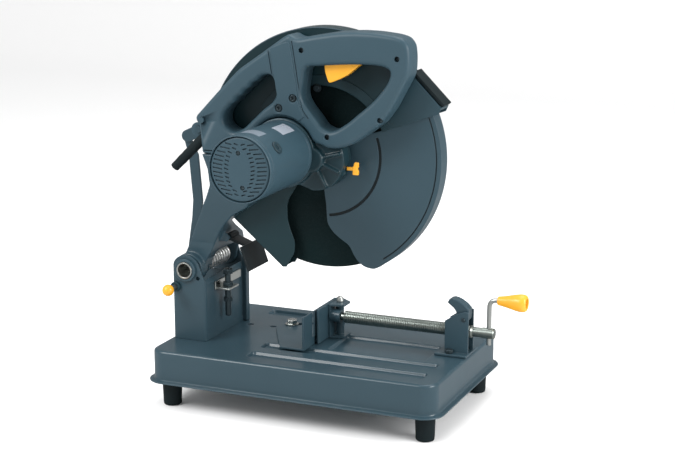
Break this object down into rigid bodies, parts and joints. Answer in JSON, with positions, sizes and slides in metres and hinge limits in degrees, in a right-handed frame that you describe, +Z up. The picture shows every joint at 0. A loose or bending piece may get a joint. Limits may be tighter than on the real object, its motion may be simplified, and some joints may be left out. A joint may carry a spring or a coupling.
{
  "type": "abrasive chop saw",
  "caption": "Bench abrasive cut-off saw: pivoting geared motor head with D-handle, wheel and swinging guard over a pressed base with angled fence and crank vise.",
  "frame": {"origin": "middle of the underside of the rubber foot at the motor side of the vise end", "axes": "+Z up, +X from the pivot end to the vise crank end, -Y the motor side"},
  "size_m": [0.5724, 0.394, 0.5955],
  "materials": {
    "slate_paint": "semi-gloss",
    "dark_slate_paint": "semi-gloss",
    "slate_plastic": "moulded, satin",
    "yellow_plastic": "satin",
    "black_plastic": "matt",
    "rubber": "matt",
    "zinc_steel": "zinc plated",
    "steel": "turned",
    "gear_steel": "hardened",
    "bronze": "plain",
    "copper": "plain",
    "iron": "laminated",
    "abrasive": "bonded grit",
    "carbon": "sintered",
    "black_paint": "semi-gloss"
  },
  "bodies": {
    "base": {"base_tray": "slate_paint", "foot_front_near": "rubber", "foot_front_far": "rubber", "foot_rear_near": "rubber", "foot_rear_far": "rubber", "pivot_column": "slate_paint", "pivot_shaft": "zinc_steel", "return_spring": "steel", "stop_bracket": "zinc_steel", "fence_bolt": "zinc_steel", "nut_block": "slate_paint", "nut_block_bolt": "zinc_steel", "lever_pin": "steel"},
    "depth_stop": {"stop_bolt": "zinc_steel"},
    "lock_pin_body": {"lock_pin": "zinc_steel", "lock_pin_knob": "yellow_plastic"},
    "fence_body": {"fence": "slate_paint"},
    "half_nut": {"half_nut_lever": "slate_paint"},
    "jaw": {"jaw_plate": "slate_paint", "jaw_bracket": "slate_paint", "jaw_pin": "zinc_steel"},
    "vise_screw_body": {"vise_screw": "zinc_steel", "crank_rod": "zinc_steel"},
    "crank_grip_body": {"crank_grip": "yellow_plastic"},
    "head": {"swing_arm": "slate_paint", "hub_bush_near": "bronze", "hub_bush_far": "bronze", "gear_case_cover": "dark_slate_paint", "spindle_bearing_rear": "steel", "spindle_bearing_front": "steel", "rotor_bearing_front": "steel", "rotor_bearing_rear": "steel", "motor_housing": "slate_plastic", "brush_cap": "black_plastic", "carbon_brush": "carbon", "motor_end_cap": "slate_plastic", "stator": "iron", "handle_near_half": "slate_plastic", "handle_far_half": "slate_plastic", "switch_block": "black_plastic", "guard_fixed": "dark_slate_paint", "chute_seal": "rubber", "cord_sleeve": "rubber"},
    "spindle_body": {"spindle": "steel", "drive_gear": "gear_steel", "inner_flange": "steel", "outer_flange": "steel", "arbor_bolt": "zinc_steel", "abrasive_wheel": "abrasive"},
    "rotor_body": {"rotor_shaft": "gear_steel", "rotor_core": "copper", "commutator": "copper", "motor_fan": "black_plastic"},
    "lower_guard": {"guard_moving": "slate_paint"},
    "guard_lever_body": {"guard_lever": "slate_paint"},
    "guard_link_body": {"guard_link": "slate_paint"},
    "trigger_body": {"trigger": "yellow_plastic"},
    "deflector_body": {"spark_deflector": "black_paint"},
    "spindle_lock_body": {"spindle_lock_button": "yellow_plastic"}
  },
  "joints": [
    {"name": "head_swing", "type": "hinge", "parent": "base", "child": "head", "pos_m": [-0.418, 0.121, 0.208], "axis": [0, 1, 0], "range_deg": [0, 29.5]},
    {"name": "guard_swing", "type": "hinge", "parent": "head", "child": "lower_guard", "pos_m": [-0.197, 0.091, 0.402], "axis": [0, -1, 0], "range_deg": [0, 62]},
    {"name": "spindle_spin", "type": "hinge", "parent": "head", "child": "spindle_body", "pos_m": [-0.197, 0.091, 0.402], "axis": [0, 1, 0], "continuous": true},
    {"name": "rotor_spin", "type": "hinge", "parent": "head", "child": "rotor_body", "pos_m": [-0.244, -0.029, 0.409], "axis": [0, 1, 0], "continuous": true},
    {"name": "guard_lever_turn", "type": "hinge", "parent": "head", "child": "guard_lever_body", "pos_m": [-0.396, 0.113, 0.432], "axis": [0, 1, 0], "range_deg": [-20, 0]},
    {"name": "guard_link_turn", "type": "hinge", "parent": "base", "child": "guard_link_body", "pos_m": [-0.45, 0.121, 0.214], "axis": [0, 1, 0], "range_deg": [0, 34]},
    {"name": "trigger_pull", "type": "hinge", "parent": "head", "child": "trigger_body", "pos_m": [-0.126, 0.05, 0.552], "axis": [0, 1, 0], "range_deg": [0, 8]},
    {"name": "deflector_tilt", "type": "hinge", "parent": "head", "child": "deflector_body", "pos_m": [-0.362, 0.095, 0.258], "axis": [0, 1, 0], "range_deg": [-10, 10]},
    {"name": "spindle_lock_press", "type": "slide", "parent": "head", "child": "spindle_lock_body", "axis": [-1, 0, 0], "range_m": [0, 0.004]},
    {"name": "lock_pin_pull", "type": "slide", "parent": "base", "child": "lock_pin_body", "axis": [0, -1, 0], "range_m": [0, 0.012]},
    {"name": "depth_stop_screw", "type": "slide", "parent": "base", "child": "depth_stop", "axis": [0, 0, 1], "range_m": [-0.006, 0.003]},
    {"name": "fence_swivel", "type": "hinge", "parent": "base", "child": "fence_body", "pos_m": [-0.221, 0.091, 0.096], "axis": [0, 0, 1], "range_deg": [0, 30]},
    {"name": "half_nut_lift", "type": "hinge", "parent": "base", "child": "half_nut", "pos_m": [0.014, 0.141, 0.151], "axis": [0, 1, 0], "range_deg": [0, 35]},
    {"name": "jaw_slide", "type": "slide", "parent": "base", "child": "jaw", "axis": [1, 0, 0], "range_m": [0, 0.15]},
    {"name": "vise_screw_turn", "type": "hinge", "parent": "jaw", "child": "vise_screw_body", "pos_m": [-0.212, 0.141, 0.1305], "axis": [1, 0, 0], "continuous": true},
    {"name": "crank_grip_turn", "type": "hinge", "parent": "vise_screw_body", "child": "crank_grip_body", "pos_m": [0.064, 0.141, 0.184], "axis": [1, 0, 0], "continuous": true}
  ],
  "couplings": [
    {"joint": "guard_swing", "follows": "head_swing", "ratio": 2},
    {"joint": "rotor_spin", "follows": "spindle_spin", "ratio": -4.4},
    {"joint": "guard_lever_turn", "follows": "head_swing", "ratio": -0.63},
    {"joint": "guard_link_turn", "follows": "head_swing", "ratio": 1.098}
  ]
}
